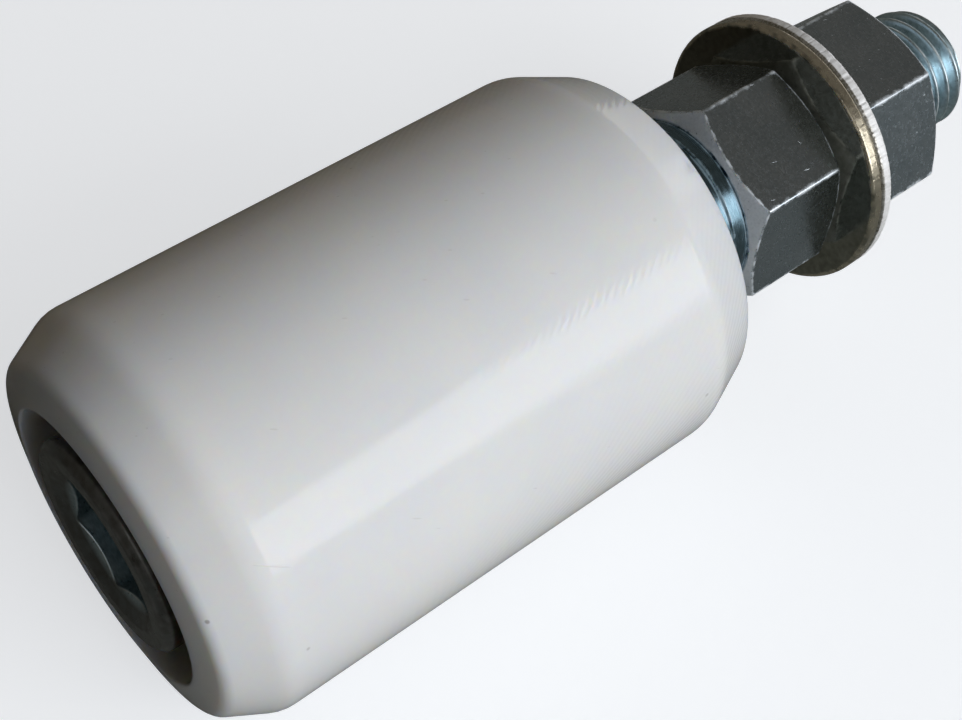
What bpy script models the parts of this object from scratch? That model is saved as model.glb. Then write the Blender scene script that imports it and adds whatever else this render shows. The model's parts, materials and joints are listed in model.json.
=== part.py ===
"""A stud-mounted roller (cam follower): a plastic roller on two sealed ball bearings, on a socket head screw.

Every piece is turned about one axis, which runs along +Y: the roller's front face looks towards -Y and the
threaded end of the screw towards +Y. A station is a distance along that axis from the roller's front face.
The part lies on its roller, with the origin on the floor under the middle of its length.
"""

import math

import bmesh
import bpy
from mathutils import Matrix

MM = 0.001

# Roller
ROLLER_RADIUS = 29 * MM
ROLLER_LENGTH = 87 * MM
CHAMFER_LENGTH = 8.2 * MM
CHAMFER_DEPTH = 3.5 * MM
RECESS_RADIUS = 19.6 * MM
BEARING_SEAT = 22 * MM
GROOVE_DEPTH = 1.1 * MM

# M20 socket head screw
SCREW_RADIUS = 10 * MM
SCREW_END = 152.4 * MM
HEAD_RADIUS = 15.15 * MM
HEAD_HEIGHT = 20 * MM
HEAD_PROUD = 0.5 * MM
HEAD_EDGE = 1.0 * MM
SOCKET_ACROSS_FLATS = 17 * MM
SOCKET_DEPTH = 10 * MM
SOCKET_MOUTH_RADIUS = 11.5 * MM
SOCKET_TURN = math.radians(5)
PITCH = 2.5 * MM
THREAD_DEPTH = 0.6134 * PITCH
THREAD_LENGTH = 60 * MM
ROWS_PER_PITCH = 4
TIP_CHAMFER = 1.3 * MM

# Deep groove ball bearings, 20 x 47 x 14
BEARING_BORE_RADIUS = 10 * MM
BEARING_OUTER_RADIUS = 23.5 * MM
BEARING_WIDTH = 14 * MM
INNER_SHOULDER_RADIUS = 14.4 * MM
OUTER_SHOULDER_RADIUS = 19.7 * MM
BALL_RADIUS = 3.97 * MM
BALL_CIRCLE_RADIUS = 16.75 * MM
BALLS = 8
CAGE_HALF_THICKNESS = 0.9 * MM
CAGE_WIDTH = 10 * MM
POCKET_CUTTER_LENGTH = 5.4 * MM
RACE_POINTS = 7
SEAL_THICKNESS = 0.8 * MM
SEAL_INSET = 0.4 * MM
RING_EDGE = 0.8 * MM

# Sleeves and rings between the bearings and the nuts
SPACER_RADIUS = 13.8 * MM
OUTER_SLEEVE_WALL = 2.4 * MM
RETAINING_RING_THICKNESS = 1.75 * MM
RETAINING_RING_WIDTH = 4 * MM
RETAINING_RING_OPENING = math.radians(24)
SHIM_THICKNESS = 2.35 * MM

# M20 hexagon nuts and the washers between them
NUT_ACROSS_FLATS = 30 * MM
NUT_HEIGHT = 17.9 * MM
NUT_FACE_RADIUS = 14.05 * MM
INNER_NUT_FACE = 98.95 * MM
INNER_NUT_TURN = math.radians(60)
OUTER_NUT_TURN = math.radians(41.6)
WASHER_RADIUS = 21.3 * MM
WASHER_THICKNESS = 1.8 * MM

GAP = 0.3 * MM
EDGE_BREAK = 0.3 * MM
CUTTER_MARGIN = 0.3 * MM
STEPS = 32
ROLLER_STEPS = 48
THREAD_STEPS = 20

BORE_RADIUS = SCREW_RADIUS + GAP
FIRST_STATION = -HEAD_PROUD
MIDDLE_STATION = (FIRST_STATION + SCREW_END) / 2
HEAD_SEAT = HEAD_HEIGHT - HEAD_PROUD
FRONT_BEARING = BEARING_SEAT + GAP
REAR_BEARING = 66 * MM
RETAINING_RING = REAR_BEARING + BEARING_WIDTH + GAP
SHIM_RING = INNER_NUT_FACE - GAP - SHIM_THICKNESS
INNER_WASHER = INNER_NUT_FACE + NUT_HEIGHT + GAP
OUTER_WASHER = INNER_WASHER + WASHER_THICKNESS + GAP
OUTER_NUT_FACE = OUTER_WASHER + WASHER_THICKNESS + GAP


def clear_scene():
    for obj in list(bpy.data.objects):
        bpy.data.objects.remove(obj, do_unlink=True)


def new_collection(name):
    collection = bpy.data.collections.new(name)
    bpy.context.scene.collection.children.link(collection)
    return collection


def new_material(name, color, roughness, metallic):
    material = bpy.data.materials.new(name)
    material.use_nodes = True
    shader = material.node_tree.nodes["Principled BSDF"]
    shader.inputs["Base Color"].default_value = (*color, 1)
    shader.inputs["Roughness"].default_value = roughness
    shader.inputs["Metallic"].default_value = metallic
    material.diffuse_color = (*color, 1)
    return material


def new_axis(name, parts):
    """An empty on the axis at station 0, with its local +Z along the axis."""
    axis = bpy.data.objects.new(name, None)
    axis.empty_display_size = 0.05
    axis.location = (0, -MIDDLE_STATION, ROLLER_RADIUS)
    axis.rotation_euler = (math.radians(-90), 0, 0)
    parts.objects.link(axis)
    return axis


def add_object(name, mesh, material, axis, collection):
    obj = bpy.data.objects.new(name, mesh)
    collection.objects.link(obj)
    obj.parent = axis
    if material:
        mesh.materials.append(material)
    mesh.shade_smooth()
    mesh.set_sharp_from_angle(angle=math.radians(30))
    return obj


def mark_cutter(obj):
    obj.hide_render = True
    obj.display_type = "WIRE"


def mesh_from(name, bm):
    mesh = bpy.data.meshes.new(name)
    bm.to_mesh(mesh)
    bm.free()
    return mesh


def profile_mesh(name, points, closed):
    bm = bmesh.new()
    verts = [bm.verts.new((radius, 0, station)) for radius, station in points]
    pairs = list(zip(verts, verts[1:]))
    if closed:
        pairs.append((verts[-1], verts[0]))
    for pair in pairs:
        bm.edges.new(pair)
    return mesh_from(name, bm)


def turned(name, points, material, axis, collection, closed=True, steps=STEPS):
    """A turned piece. Its profile of (radius, station) runs down the outer side, then back up the bore."""
    obj = add_object(name, profile_mesh(name, points, closed), material, axis, collection)
    screw = obj.modifiers.new("Turn", "SCREW")
    screw.axis = "Z"
    screw.steps = steps
    screw.render_steps = steps
    screw.use_merge_vertices = True
    screw.merge_threshold = 0.00001
    screw.use_smooth_shade = True
    return obj


def boolean(obj, other, operation):
    modifier = obj.modifiers.new(operation.title(), "BOOLEAN")
    modifier.operation = operation
    modifier.solver = "EXACT"
    modifier.object = other


def ring_profile(outer, inner, start, end, edge=0.0):
    """A rectangular section from one station to another, with its four edges broken by `edge`."""
    if not edge:
        return [(outer, end), (outer, start), (inner, start), (inner, end)]
    return [
        (outer - edge, end),
        (outer, end - edge),
        (outer, start + edge),
        (outer - edge, start),
        (inner + edge, start),
        (inner, start + edge),
        (inner, end - edge),
        (inner + edge, end),
    ]


def radial_cylinder(bm, radius, depth, circle_radius, angle, segments):
    """A cylinder that points outwards from the axis, centred on a circle round it."""
    place = Matrix.Rotation(angle, 4, "Z") @ Matrix.Translation((circle_radius, 0, 0))
    bmesh.ops.create_cone(
        bm,
        cap_ends=True,
        segments=segments,
        radius1=radius,
        radius2=radius,
        depth=depth,
        matrix=place @ Matrix.Rotation(math.pi / 2, 4, "Y"),
    )


def hexagonal_bar(name, across_flats, start, end, turn, material, axis, collection):
    """A hexagonal bar along the axis, with a corner at `turn` from straight up, towards +X."""
    bm = bmesh.new()
    radius = across_flats / math.sqrt(3)
    place = Matrix.Translation((0, 0, (start + end) / 2)) @ Matrix.Rotation(turn, 4, "Z")
    bmesh.ops.create_cone(
        bm, cap_ends=True, segments=6, radius1=radius, radius2=radius, depth=end - start, matrix=place
    )
    return add_object(name, mesh_from(name, bm), material, axis, collection)


def thread_radius(angle, station, start):
    """Radius of a right-hand thread with flat crests and roots, which fades in over one pitch at `start`."""
    phase = (station / PITCH - angle / (2 * math.pi)) % 1
    from_crest = min(phase, 1 - phase)
    depth = min(max((from_crest - 1 / 16) / (3 / 8 - 1 / 16), 0), 1)
    fade = min(max((station - start) / PITCH, 0), 1)
    return SCREW_RADIUS - THREAD_DEPTH * depth * fade


def make_screw(material, axis, parts, cutters):
    thread_start = SCREW_END - THREAD_LENGTH
    tip_start = SCREW_END - TIP_CHAMFER
    rows = round((tip_start - thread_start) / PITCH * ROWS_PER_PITCH)
    outline = [
        (0, -HEAD_PROUD),
        (HEAD_RADIUS - HEAD_EDGE, -HEAD_PROUD),
        (HEAD_RADIUS, HEAD_EDGE - HEAD_PROUD),
        (HEAD_RADIUS, HEAD_SEAT),
        (SCREW_RADIUS, HEAD_SEAT),
    ]
    for row in range(rows + 1):
        outline.append((SCREW_RADIUS, thread_start + (tip_start - thread_start) * row / rows))
    outline += [(SCREW_RADIUS - TIP_CHAMFER, SCREW_END), (0, SCREW_END)]

    bm = bmesh.new()
    verts = [bm.verts.new((radius, 0, station)) for radius, station in reversed(outline)]
    edges = [bm.edges.new(pair) for pair in zip(verts, verts[1:])]
    bmesh.ops.spin(
        bm,
        geom=verts + edges,
        cent=(0, 0, 0),
        axis=(0, 0, 1),
        angle=2 * math.pi,
        steps=THREAD_STEPS,
        use_merge=True,
    )
    bmesh.ops.remove_doubles(bm, verts=bm.verts, dist=0.000001)
    bmesh.ops.recalc_face_normals(bm, faces=bm.faces)
    for vert in bm.verts:
        radius = math.hypot(vert.co.x, vert.co.y)
        if vert.co.z > thread_start and radius > SCREW_RADIUS - TIP_CHAMFER / 2:
            angle = math.atan2(vert.co.y, vert.co.x)
            scale = thread_radius(angle, vert.co.z, thread_start) / radius
            vert.co.x *= scale
            vert.co.y *= scale
    screw = add_object("socket_head_screw", mesh_from("socket_head_screw", bm), material, axis, parts)

    socket_start = -HEAD_PROUD - CUTTER_MARGIN
    socket = hexagonal_bar(
        "socket_cutter",
        SOCKET_ACROSS_FLATS,
        socket_start,
        SOCKET_DEPTH - HEAD_PROUD,
        SOCKET_TURN,
        None,
        axis,
        cutters,
    )
    slope = math.tan(math.radians(30))
    mouth_depth = SOCKET_MOUTH_RADIUS * slope
    mouth = turned(
        "mouth_cutter",
        [
            (0, mouth_depth - HEAD_PROUD),
            (SOCKET_MOUTH_RADIUS + CUTTER_MARGIN / slope, socket_start),
            (0, socket_start),
        ],
        None,
        axis,
        cutters,
        closed=False,
    )
    for cutter in (socket, mouth):
        mark_cutter(cutter)
        boolean(screw, cutter, "DIFFERENCE")


def make_roller(material, axis, parts):
    tread = ROLLER_RADIUS / math.cos(math.pi / ROLLER_STEPS)
    seat = BEARING_OUTER_RADIUS + GAP
    groove_start = RETAINING_RING - GAP
    groove_end = RETAINING_RING + RETAINING_RING_THICKNESS + GAP
    outline = [
        (tread - CHAMFER_DEPTH, ROLLER_LENGTH),
        (tread, ROLLER_LENGTH - CHAMFER_LENGTH),
        (tread, CHAMFER_LENGTH),
        (tread - CHAMFER_DEPTH, 0),
        (RECESS_RADIUS, 0),
        (RECESS_RADIUS, BEARING_SEAT),
        (seat, BEARING_SEAT),
        (seat, groove_start),
        (seat + GROOVE_DEPTH, groove_start),
        (seat + GROOVE_DEPTH, groove_end),
        (seat, groove_end),
        (seat, ROLLER_LENGTH - RING_EDGE),
        (seat + RING_EDGE, ROLLER_LENGTH),
    ]
    roller = turned("roller", outline, material, axis, parts, steps=ROLLER_STEPS)
    # Half a step of turn lays a flat of the turned outline on the floor.
    roller.rotation_euler.z = math.pi / ROLLER_STEPS


def race_profile(shoulder, back, middle, inner):
    """A bearing ring's section: a straight back, and a ball groove between two shoulders."""
    groove = BALL_RADIUS + GAP
    reach = math.sqrt(groove**2 - (BALL_CIRCLE_RADIUS - shoulder) ** 2)
    side = -1 if inner else 1
    half = BEARING_WIDTH / 2
    face = [(shoulder, middle + half)]
    for step in range(RACE_POINTS):
        offset = reach * (1 - 2 * step / (RACE_POINTS - 1))
        face.append((BALL_CIRCLE_RADIUS + side * math.sqrt(groove**2 - offset**2), middle + offset))
    face.append((shoulder, middle - half))
    rear = [(back, middle - half), (back, middle + half)]
    return face + rear if inner else rear[::-1] + face[::-1]


def make_cage(name, middle, material, axis, parts, cutters):
    inside = BALL_CIRCLE_RADIUS - CAGE_HALF_THICKNESS
    outside = BALL_CIRCLE_RADIUS + CAGE_HALF_THICKNESS
    start = middle - CAGE_WIDTH / 2
    profile = ring_profile(outside, inside, start, start + CAGE_WIDTH)
    cage = turned(name, profile, material, axis, parts)
    bm = bmesh.new()
    for index in range(BALLS):
        angle = 2 * math.pi * index / BALLS
        radial_cylinder(
            bm, BALL_RADIUS + GAP, POCKET_CUTTER_LENGTH, BALL_CIRCLE_RADIUS, angle, segments=12
        )
    bmesh.ops.translate(bm, verts=bm.verts, vec=(0, 0, middle))
    pockets = add_object(name + "_pockets", mesh_from(name + "_pockets", bm), None, axis, cutters)
    mark_cutter(pockets)
    boolean(cage, pockets, "DIFFERENCE")


def make_bearing(side, start, materials, axis, parts, cutters):
    middle = start + BEARING_WIDTH / 2
    end = start + BEARING_WIDTH
    inner = race_profile(INNER_SHOULDER_RADIUS, BORE_RADIUS, middle, inner=True)
    outer = race_profile(OUTER_SHOULDER_RADIUS, BEARING_OUTER_RADIUS, middle, inner=False)
    turned(side + "_bearing_inner_ring", inner, materials["bearing_steel"], axis, parts)
    turned(side + "_bearing_outer_ring", outer, materials["bearing_steel"], axis, parts)
    make_cage(side + "_bearing_cage", middle, materials["cage"], axis, parts, cutters)
    seal_starts = {"front": start + SEAL_INSET, "rear": end - SEAL_INSET - SEAL_THICKNESS}
    for face, seal_start in seal_starts.items():
        profile = ring_profile(
            OUTER_SHOULDER_RADIUS - GAP,
            INNER_SHOULDER_RADIUS + GAP,
            seal_start,
            seal_start + SEAL_THICKNESS,
        )
        turned(f"{side}_bearing_{face}_seal", profile, materials["seal"], axis, parts)
    bm = bmesh.new()
    bmesh.ops.create_icosphere(bm, subdivisions=2, radius=BALL_RADIUS)
    ball_mesh = mesh_from(side + "_ball", bm)
    ball_mesh.materials.append(materials["bearing_steel"])
    for index in range(BALLS):
        ball = add_object(f"{side}_bearing_ball_{index + 1}", ball_mesh, None, axis, parts)
        angle = 2 * math.pi * index / BALLS
        ball.location = (
            BALL_CIRCLE_RADIUS * math.cos(angle),
            BALL_CIRCLE_RADIUS * math.sin(angle),
            middle,
        )


def make_sleeves(materials, axis, parts):
    bearing_gap_start = FRONT_BEARING + BEARING_WIDTH + GAP
    bearing_gap_end = REAR_BEARING - GAP
    steel = materials["blue_zinc"]
    sleeves = {
        "head_spacer": (SPACER_RADIUS, BORE_RADIUS, HEAD_SEAT + GAP, FRONT_BEARING - GAP),
        "inner_sleeve": (SPACER_RADIUS, BORE_RADIUS, bearing_gap_start, bearing_gap_end),
        "outer_sleeve": (
            BEARING_OUTER_RADIUS,
            BEARING_OUTER_RADIUS - OUTER_SLEEVE_WALL,
            bearing_gap_start,
            bearing_gap_end,
        ),
        "rear_spacer": (SPACER_RADIUS, BORE_RADIUS, RETAINING_RING, SHIM_RING - GAP),
        "shim_ring": (SPACER_RADIUS, BORE_RADIUS, SHIM_RING, SHIM_RING + SHIM_THICKNESS),
    }
    for name, (outer, inner, start, end) in sleeves.items():
        profile = ring_profile(outer, inner, start, end, EDGE_BREAK)
        turned(name, profile, steel, axis, parts)


def make_retaining_ring(material, axis, parts, cutters):
    """A spring ring for a groove in a bore, with an opening at the bottom."""
    outer = BEARING_OUTER_RADIUS + GROOVE_DEPTH
    profile = ring_profile(
        outer, outer - RETAINING_RING_WIDTH, RETAINING_RING, RETAINING_RING + RETAINING_RING_THICKNESS
    )
    ring = turned("retaining_ring", profile, material, axis, parts)
    width = 2 * outer * math.sin(RETAINING_RING_OPENING / 2)
    bm = bmesh.new()
    bmesh.ops.create_cube(bm, size=1)
    height = RETAINING_RING_THICKNESS + 2 * CUTTER_MARGIN
    middle = RETAINING_RING + RETAINING_RING_THICKNESS / 2
    bmesh.ops.scale(bm, verts=bm.verts, vec=(width, outer, height))
    bmesh.ops.translate(bm, verts=bm.verts, vec=(0, outer, middle))
    opening = add_object("opening_cutter", mesh_from("opening_cutter", bm), None, axis, cutters)
    mark_cutter(opening)
    boolean(ring, opening, "DIFFERENCE")


def make_nut(name, start, turn, material, axis, parts, cutters):
    """A hexagon nut: a hexagonal bar cut to a turned blank with 30 degree chamfers and a countersunk bore."""
    end = start + NUT_HEIGHT
    corner = NUT_ACROSS_FLATS / math.sqrt(3) + CUTTER_MARGIN
    drop = (corner - NUT_FACE_RADIUS) * math.tan(math.radians(30))
    bar_start = start - CUTTER_MARGIN
    bar_end = end + CUTTER_MARGIN
    nut = hexagonal_bar(name, NUT_ACROSS_FLATS, bar_start, bar_end, turn, material, axis, parts)
    outline = [
        (NUT_FACE_RADIUS, end),
        (corner, end - drop),
        (corner, start + drop),
        (NUT_FACE_RADIUS, start),
        (BORE_RADIUS + RING_EDGE, start),
        (BORE_RADIUS, start + RING_EDGE),
        (BORE_RADIUS, end - RING_EDGE),
        (BORE_RADIUS + RING_EDGE, end),
    ]
    blank = turned(name + "_blank", outline, None, axis, cutters)
    mark_cutter(blank)
    boolean(nut, blank, "INTERSECT")


def make_washers(material, axis, parts):
    for name, start in {"inner_washer": INNER_WASHER, "outer_washer": OUTER_WASHER}.items():
        end = start + WASHER_THICKNESS
        profile = ring_profile(WASHER_RADIUS, BORE_RADIUS, start, end, EDGE_BREAK)
        turned(name, profile, material, axis, parts, steps=ROLLER_STEPS)


def main():
    clear_scene()
    parts = new_collection("cam_follower")
    cutters = new_collection("cutters")
    materials = {
        "white_plastic": new_material("white_plastic", (0.80, 0.81, 0.83), 0.38, 0),
        "screw_steel": new_material("screw_steel", (0.20, 0.21, 0.23), 0.32, 1),
        "blue_zinc": new_material("blue_zinc", (0.45, 0.52, 0.58), 0.25, 1),
        "bright_zinc": new_material("bright_zinc", (0.42, 0.43, 0.44), 0.30, 1),
        "olive_zinc": new_material("olive_zinc", (0.36, 0.35, 0.30), 0.22, 1),
        "bearing_steel": new_material("bearing_steel", (0.62, 0.63, 0.64), 0.15, 1),
        "cage": new_material("cage", (0.55, 0.50, 0.38), 0.40, 1),
        "seal": new_material("seal", (0.03, 0.03, 0.03), 0.60, 0),
        "spring_steel": new_material("spring_steel", (0.10, 0.10, 0.11), 0.45, 1),
    }
    axis = new_axis("screw_axis", parts)
    make_roller(materials["white_plastic"], axis, parts)
    make_screw(materials["screw_steel"], axis, parts, cutters)
    make_bearing("front", FRONT_BEARING, materials, axis, parts, cutters)
    make_bearing("rear", REAR_BEARING, materials, axis, parts, cutters)
    make_sleeves(materials, axis, parts)
    make_retaining_ring(materials["spring_steel"], axis, parts, cutters)
    zinc = materials["bright_zinc"]
    make_nut("inner_nut", INNER_NUT_FACE, INNER_NUT_TURN, zinc, axis, parts, cutters)
    make_nut("outer_nut", OUTER_NUT_FACE, OUTER_NUT_TURN, zinc, axis, parts, cutters)
    make_washers(materials["olive_zinc"], axis, parts)


main()
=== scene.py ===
"""Looks for the stud-mounted roller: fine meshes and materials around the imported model.

Every piece but the balls is a surface of revolution, or close to one, about an axis along +Y at
AXIS_HEIGHT. Sizes that belong to one node are read from its box; the rest are named here, in millimetres.
"""

import json
import math

import bmesh
import bpy
import numpy as np
from mathutils import Matrix, Vector


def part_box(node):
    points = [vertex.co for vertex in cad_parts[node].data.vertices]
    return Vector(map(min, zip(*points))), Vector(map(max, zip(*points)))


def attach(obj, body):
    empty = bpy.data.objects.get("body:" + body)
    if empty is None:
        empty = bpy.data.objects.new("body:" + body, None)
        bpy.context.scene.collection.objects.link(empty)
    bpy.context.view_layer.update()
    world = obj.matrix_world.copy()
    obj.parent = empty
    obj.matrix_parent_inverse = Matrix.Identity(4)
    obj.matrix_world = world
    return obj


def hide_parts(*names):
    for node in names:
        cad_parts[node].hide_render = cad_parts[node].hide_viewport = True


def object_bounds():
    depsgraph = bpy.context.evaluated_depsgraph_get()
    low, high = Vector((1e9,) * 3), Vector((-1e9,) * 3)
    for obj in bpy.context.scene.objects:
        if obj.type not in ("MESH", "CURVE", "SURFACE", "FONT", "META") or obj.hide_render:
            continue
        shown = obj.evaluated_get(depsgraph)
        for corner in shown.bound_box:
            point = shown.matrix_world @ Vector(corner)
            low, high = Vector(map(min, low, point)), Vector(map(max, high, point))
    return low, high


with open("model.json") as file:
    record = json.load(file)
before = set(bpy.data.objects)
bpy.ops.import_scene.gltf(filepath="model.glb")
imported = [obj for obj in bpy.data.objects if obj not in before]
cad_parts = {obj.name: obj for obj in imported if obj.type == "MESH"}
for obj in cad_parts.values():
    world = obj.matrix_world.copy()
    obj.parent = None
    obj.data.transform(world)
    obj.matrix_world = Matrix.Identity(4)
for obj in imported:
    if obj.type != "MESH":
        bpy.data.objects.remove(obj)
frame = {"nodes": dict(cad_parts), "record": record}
CAD_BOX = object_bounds()

MM = 0.001
FULL_TURN = 2 * math.pi
AXIS_HEIGHT = (CAD_BOX[0].z + CAD_BOX[1].z) / 2 / MM
SLIP = 0.01
CONE_SLOPE = math.tan(math.radians(60))

# Roller
CHAMFER_LENGTH = 8.2
CHAMFER_DEPTH = 3.5
RECESS_RADIUS = 19.6
MOUTH_EDGE = 0.8
FACE_CROWN = 1.2
CHATTER_SPAN = (-48.0, -18.0)
ROLLER_COLUMNS = 320

# Screw
SCREW_RADIUS = 10.0
PITCH = 2.5
THREAD_DEPTH = 0.6134 * PITCH
THREAD_LENGTH = 60.0
TIP_CHAMFER = 1.3
HEAD_HEIGHT = 20.0
SOCKET_ACROSS_FLATS = 17.0
SOCKET_DEPTH = 10.0
SOCKET_MOUTH_RADIUS = 11.5
SOCKET_TURN = math.radians(5)
SOCKET_FLOOR_DEPTH = 1.4
SCREW_COLUMNS = 180

# Nuts
NUT_ACROSS_FLATS = 30.0
NUT_FACE_RADIUS = 14.05
COUNTERSINK = 0.9
INNER_NUT_TURN = math.radians(60)
OUTER_NUT_TURN = math.radians(41.6)

# Washers and sleeve
WASHER_BORE_RADIUS = SCREW_RADIUS + 0.4
WASHER_COLUMNS = 960
SLEEVE_WALL = 2.4

# Ball bearings
BALL_CIRCLE_RADIUS = 16.75
BALLS = 8
GROOVE_OVER_BALL = 1.04
OUTER_SHOULDER_RELIEF = 0.6

# Retaining ring
RING_OPENING = math.radians(12)
RING_BEVEL = 0.12
RING_WIDTH = 3.9
RING_TAPER = 1.1
LUG_RADIUS = 2.4
LUG_HOLE_RADIUS = 1.0
LUG_INSET = 5.0

BODY_OF = {node: body for body, nodes in frame["record"]["behaviour"]["bodies"].items() for node in nodes}


# ---------------------------------------------------------------- shapes


def extent(node):
    """(first y, last y, outer radius) of a node, in millimetres."""
    low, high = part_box(node)
    return low.y / MM, high.y / MM, (high.x - low.x) / 2 / MM


def skin(name, y, radius, edge, angle=None, cut=0.0):
    """A closed mesh over lines of points round the axis, in millimetres.

    y, radius and edge have a row for each line and a column for each angle from straight up towards +X. The
    last column meets the first, and equal points are merged. edge says how worn the surface is, and cut how
    freshly machined, from 0 to 1.
    """
    y, radius, edge, cut = np.broadcast_arrays(y, radius, edge, cut)
    rows, columns = y.shape
    if angle is None:
        angle = np.linspace(0, FULL_TURN, columns)
    points = np.stack([radius * np.sin(angle), y, AXIS_HEIGHT + radius * np.cos(angle)], axis=2) * MM
    index = np.arange(rows * columns).reshape(rows, columns)
    corners = (index[:-1, :-1], index[1:, :-1], index[1:, 1:], index[:-1, 1:])
    quads = np.stack(corners, axis=2).reshape(-1, 4)
    mesh = bpy.data.meshes.new(name)
    mesh.from_pydata(points.reshape(-1, 3).tolist(), [], quads.tolist())

    for label, values in (("edge", edge), ("cut", cut)):
        layer = mesh.attributes.new(label, "FLOAT", "POINT")
        layer.data.foreach_set("value", values.astype(np.float32).ravel())
    steps = np.hypot(np.diff(y, axis=0), np.diff(radius, axis=0)).mean(axis=1)
    along = np.concatenate([[0], np.cumsum(steps)])
    around = angle * radius.max()
    layer = mesh.uv_layers.new(name="Turned")
    uv = np.stack([around[quads % columns], along[quads // columns]], axis=2)
    layer.data.foreach_set("uv", uv.astype(np.float32).ravel())
    weld(mesh)
    return linked(name, mesh)


def linked(name, data):
    """A new object in the scene."""
    made = bpy.data.objects.new(name, data)
    bpy.context.scene.collection.objects.link(made)
    return made


def weld(mesh):
    """Joins points that meet, drops faces of no area and turns the rest outwards."""
    bm = bmesh.new()
    bm.from_mesh(mesh)
    bmesh.ops.remove_doubles(bm, verts=bm.verts, dist=2e-7)
    bmesh.ops.dissolve_degenerate(bm, edges=bm.edges, dist=1e-7)
    bmesh.ops.recalc_face_normals(bm, faces=bm.faces)
    bm.to_mesh(mesh)
    bm.free()
    mesh.shade_smooth()


def corner_arc(before, here, after, rounding):
    """Points of the arc that rounds a corner of a section, or the corner itself."""
    back, ahead = before - here, after - here
    lengths = np.linalg.norm(back), np.linalg.norm(ahead)
    back, ahead = back / lengths[0], ahead / lengths[1]
    opening = math.acos(np.clip(back @ ahead, -1, 1))
    if rounding <= 0 or opening > math.radians(178):
        return [here]
    reach = min(rounding / math.tan(opening / 2), 0.46 * min(lengths))
    radius = reach * math.tan(opening / 2)
    middle = (back + ahead) / np.linalg.norm(back + ahead)
    centre = here + middle * radius / math.sin(opening / 2)
    start, end = here + back * reach - centre, here + ahead * reach - centre
    first = math.atan2(start[1], start[0])
    turn = (math.atan2(end[1], end[0]) - first + math.pi) % FULL_TURN - math.pi
    count = max(3, math.ceil(abs(turn) / math.radians(11)))
    angles = first + turn * np.linspace(0, 1, count + 1)
    return [centre + radius * np.array([math.cos(a), math.sin(a)]) for a in angles]


def straight_run(start, end, longest):
    """Points between two corners: close together near each end, so that shading stays flat between them."""
    length = np.linalg.norm(end - start)
    near = [d for d in (0.1, 0.3, 0.7) if d < 0.4 * length]
    count = math.ceil(length / longest)
    places = set(near) | {length - d for d in near} | {length * i / count for i in range(1, count)}
    kept = [0.0]
    for place in sorted(places):
        if place - kept[-1] > 0.05 and length - place > 0.05:
            kept.append(place)
    return [start + (end - start) * place / length for place in kept[1:]]


def section(corners, closed=True, longest=2.0, fade=0.35):
    """Rows (y, radius, edge) along a section through (y, radius, rounding) corners, in millimetres.

    longest is the greatest step between rows, and fade how far the wear reaches from a rounded corner.
    """
    spots = [np.array(corner[:2], float) for corner in corners]
    last = len(corners) - 1
    points, on_edge = [], []
    for i, corner in enumerate(corners):
        if not closed and i in (0, last):
            arc = [spots[i]]
        else:
            arc = corner_arc(spots[i - 1], spots[i], spots[(i + 1) % len(spots)], corner[2])
        if points:
            run = straight_run(points[-1], arc[0], longest)
            points += run
            on_edge += [False] * len(run)
        points += arc
        on_edge += [len(arc) > 1] * len(arc)
    if closed:
        run = straight_run(points[-1], points[0], longest)
        points += run + [points[0]]
        on_edge += [False] * len(run) + [on_edge[0]]
    points = np.array(points)
    place = np.concatenate([[0], np.cumsum(np.linalg.norm(np.diff(points, axis=0), axis=1))])
    worn = place[np.array(on_edge)]
    distance = np.abs(place[:, None] - worn[None, :]).min(axis=1)
    return np.column_stack([points, np.exp(-distance / fade)])


def turned(name, corners, columns=240, **options):
    """A piece turned from one section."""
    rows = section(corners, **options)
    round_trip = np.ones(columns + 1)
    return skin(name, rows[:, :1] * round_trip, rows[:, 1:2] * round_trip, rows[:, 2:] * round_trip)


def stacked(rows, angle):
    """Rows of (y, radius, edge ...) as one array of each, with a column for every angle."""
    return (np.array([np.broadcast_to(value, angle.shape) for value in part]) for part in zip(*rows))


def smooth_least(a, b, width):
    """The smaller of a and b, rounded where they cross; and how much of the rounding is at each point."""
    share = np.clip(1 - np.abs(a - b) / width, 0, 1)
    return np.minimum(a, b) - width * share**2 / 4, share


def hexagon_radius(angle, across_flats, turn, rounding):
    """(radius, rounding share) of a hexagon with a corner at `turn`, at each angle."""
    half = across_flats / 2
    from_corner = (angle - turn + math.pi / 6) % (math.pi / 3) - math.pi / 6
    sides = half / np.cos(from_corner - math.pi / 6), half / np.cos(from_corner + math.pi / 6)
    return smooth_least(*sides, rounding)


def ring_corners(start, end, inner, outer, edge, bore_edge=None):
    """Section corners of a plain ring, in order round it."""
    bore_edge = edge if bore_edge is None else bore_edge
    return [(start, inner, bore_edge), (start, outer, edge), (end, outer, edge), (end, inner, bore_edge)]


def closed_up(chain, first=None):
    """Start and end of each node in a row of touching ones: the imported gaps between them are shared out."""
    ends = {node: list(extent(node)[:2]) for node in chain}
    for before, after in zip(chain, chain[1:]):
        plane = (ends[before][1] + ends[after][0]) / 2
        ends[before][1] = plane - SLIP
        ends[after][0] = plane + SLIP
    if first is not None:
        ends[chain[0]][0] = first + SLIP
    return ends


# ---------------------------------------------------------------- materials


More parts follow.
